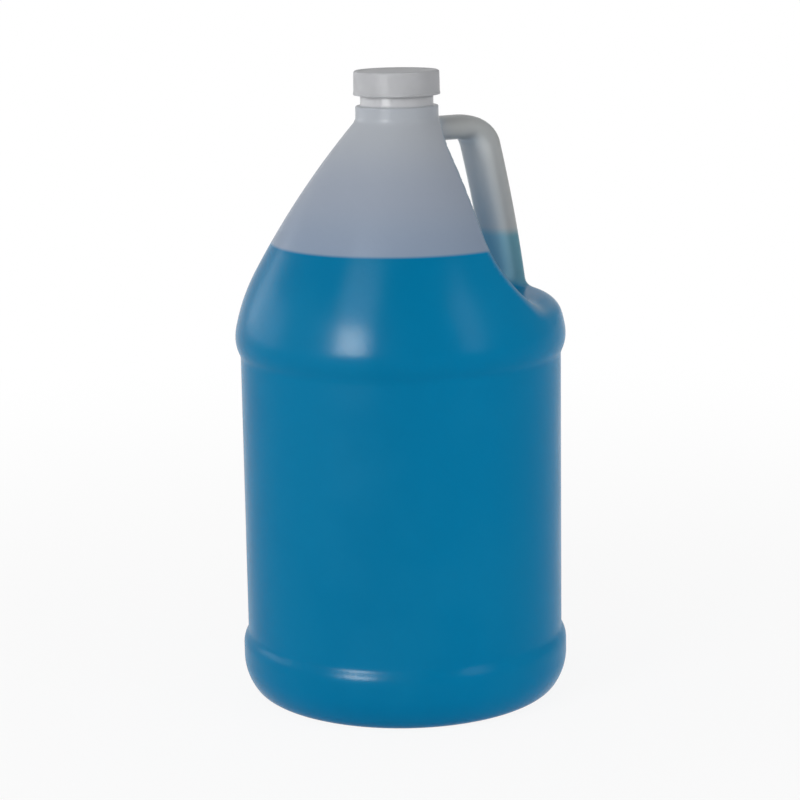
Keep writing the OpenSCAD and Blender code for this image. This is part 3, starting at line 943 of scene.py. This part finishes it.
def blue_liquid():
    """Deep blue with a wet shine and slow swirls."""
    finish, shader, nodes, links = new_finish("blue_liquid", 0.08, 0.4)
    place = nodes.new("ShaderNodeTexCoord").outputs["Object"]
    swirl = ranged(nodes, links, cloud(nodes, links, place, 9), 0.3, 0.7)
    links.new(mixed(nodes, links, swirl, colour(0, 96, 150), colour(0, 112, 166)),
              shader.inputs["Base Color"])
    uneven(nodes, links, shader, swirl, 0.05, 0.0005)
    return finish


def liner_foam():
    """Matt foam with fine pores."""
    finish, shader, nodes, links = new_finish("liner_foam", 0.85, 0.3)
    place = nodes.new("ShaderNodeTexCoord").outputs["Object"]
    pores = nodes.new("ShaderNodeTexVoronoi")
    pores.inputs["Scale"].default_value = 1400
    links.new(place, pores.inputs["Vector"])
    depth = ranged(nodes, links, pores.outputs["Distance"], 0.1, 0.6)
    # The colour is darker where the pores dip: painted shade in the pores, over a real bump.
    links.new(mixed(nodes, links, depth, colour(214, 212, 204), colour(236, 234, 228)),
              shader.inputs["Base Color"])
    uneven(nodes, links, shader, depth, 0.4, 0.0002)
    return finish


def cap_plastic():
    """Satin white plastic."""
    finish, shader, nodes, links = new_finish("cap_plastic", 0.4, 0.05)
    place = nodes.new("ShaderNodeTexCoord").outputs["Object"]
    clouds = ranged(nodes, links, cloud(nodes, links, place, 90), 0.3, 0.7)
    links.new(mixed(nodes, links, clouds, colour(186, 187, 190), colour(192, 193, 196)),
              shader.inputs["Base Color"])
    links.new(ranged(nodes, links, clouds, 0, 1, 0.36, 0.46), shader.inputs["Roughness"])
    uneven(nodes, links, shader, cloud(nodes, links, place, 900, 3), 0.15, 0.0003)
    return finish


liquid.data.materials.append(blue_liquid())
liner.data.materials.append(liner_foam())
cap.data.materials.append(cap_plastic())

# %% [markdown]
# ## Floor and light
# Such a product is photographed on a white sweep, with a bright window or soft box at the
# front left and a weaker one on the right. Their mirror images are what the eye reads as
# gloss: the pale spot and streak on the shoulder, the thin line on the foot roll and the
# faint second spot. So gloss and light are set apart here. Lamps light the jug but don't
# show in it, and cards show in its gloss but give no light. The room is white all round,
# darker behind the camera and overhead. The floor stays white because the camera sees it
# mostly as its own colour, and it keeps the jug's soft shadow.

# %% Floor
FLOOR_SIZE, SHADE_FROM, SHADE_TO, GLOW_SHARE = 40, 0.12, 0.9, 0.9


def white_floor():
    """A wide pale floor, mostly seen as white and partly lit, so that the shadow stays."""
    bpy.ops.mesh.primitive_plane_add(size=FLOOR_SIZE, location=(0, 0, 0))
    floor = bpy.context.object
    floor.name = "floor"
    finish, shader, nodes, links = new_finish("floor_white", 0.9, 0.1)
    shader.inputs["Base Color"].default_value = (0.9, 0.9, 0.9, 1)
    glow = nodes.new("ShaderNodeEmission")
    glow.inputs["Color"].default_value = (1, 1, 1, 1)
    glow.inputs["Strength"].default_value = 1
    path = nodes.new("ShaderNodeLightPath").outputs
    mirrored = maths(nodes, links, "MAXIMUM", path["Is Glossy Ray"], path["Is Transmission Ray"])
    seen = maths(nodes, links, "MAXIMUM", path["Is Camera Ray"], mirrored)
    away = nodes.new("ShaderNodeVectorMath")
    away.operation = "LENGTH"
    links.new(nodes.new("ShaderNodeTexCoord").outputs["Object"], away.inputs[0])
    white = ranged(nodes, links, away.outputs["Value"], SHADE_FROM, SHADE_TO, GLOW_SHARE, 1)
    both = nodes.new("ShaderNodeMixShader")
    links.new(maths(nodes, links, "MULTIPLY", seen, white), both.inputs[0])
    links.new(shader.outputs[0], both.inputs[1])
    links.new(glow.outputs[0], both.inputs[2])
    links.new(both.outputs[0], nodes["Material Output"].inputs["Surface"])
    floor.data.materials.append(finish)
    return floor


floor = white_floor()
print("floor is", FLOOR_SIZE, "m wide")

# %% Surroundings


def white_surroundings(strength, mirrored_low):
    """White all round for the camera. Gloss sees the room duller on the right and behind
    the camera, and the light that the room gives is softer, least from above."""
    world = bpy.data.worlds.new("surroundings")
    world.use_nodes = True
    nodes, links = world.node_tree.nodes, world.node_tree.links
    back = nodes["Background"]
    back.inputs["Color"].default_value = (1, 1, 1, 1)
    way = nodes.new("ShaderNodeTexCoord").outputs["Generated"]
    left = reach(nodes, links, way, TO_LEFT)
    front = reach(nodes, links, way, TO_CAMERA)
    up = reach(nodes, links, way, (0, 0, 1))
    mirrored = maths(nodes, links, "MULTIPLY",
                     ranged(nodes, links, front, 0.1, 0.8, 1, 0.1),
                     ranged(nodes, links, left, -0.8, 0.8, mirrored_low, 0.95, "LINEAR"))
    light = maths(nodes, links, "MULTIPLY",
                  ranged(nodes, links, up, 0.2, 1, strength, strength * 0.35),
                  ranged(nodes, links, left, -1, 1, 0.8, 1.2, "LINEAR"))
    path = nodes.new("ShaderNodeLightPath").outputs
    room = blended(nodes, links, path["Is Glossy Ray"], light, mirrored)
    seen = maths(nodes, links, "MAXIMUM", path["Is Camera Ray"], path["Is Transmission Ray"])
    links.new(blended(nodes, links, seen, room, 1), back.inputs["Strength"])
    bpy.context.scene.world = world


white_surroundings(0.76, 0.5)

# %% Lamps and cards
AIM = Vector((0, 0, 0.16))


def soft_lamp(name, turn, rise, distance, width, height, watts, lights=True):
    """A rectangular lamp that looks at the jug, turned from the camera's side. One that
    doesn't light is a card, which only shows in the gloss."""
    a, e = CAMERA_TURN + math.radians(turn), math.radians(rise)
    away = Vector((math.sin(a) * math.cos(e), -math.cos(a) * math.cos(e), math.sin(e)))
    lamp = bpy.data.objects.new(name, bpy.data.lights.new(name, "AREA"))
    lamp.data.shape = "RECTANGLE"
    lamp.data.size, lamp.data.size_y = width, height
    lamp.data.energy = watts
    lamp.location = AIM + away * distance
    lamp.rotation_mode = "QUATERNION"
    lamp.rotation_quaternion = (-away).to_track_quat("-Z", "Y")
    lamp.visible_diffuse = lights
    lamp.visible_glossy = not lights
    lamp.visible_camera = False
    bpy.context.scene.collection.objects.link(lamp)
    return lamp


soft_lamp("lamp_left", -40, 22, 1.5, 0.5, 0.5, 5.5)
soft_lamp("lamp_right", 55, 22, 1.6, 0.5, 0.5, 2)
soft_lamp("card_left", -34, 16, 1.5, 0.48, 0.46, 70, lights=False)
soft_lamp("card_left_high", -35, 40, 1.5, 0.6, 0.6, 12, lights=False)
soft_lamp("card_far_left", -112, 12, 1.5, 1.2, 0.5, 8, lights=False)
soft_lamp("card_right", 51, 25, 1.5, 0.42, 1.0, 7, lights=False)
bpy.context.scene.view_settings.view_transform = "Standard"
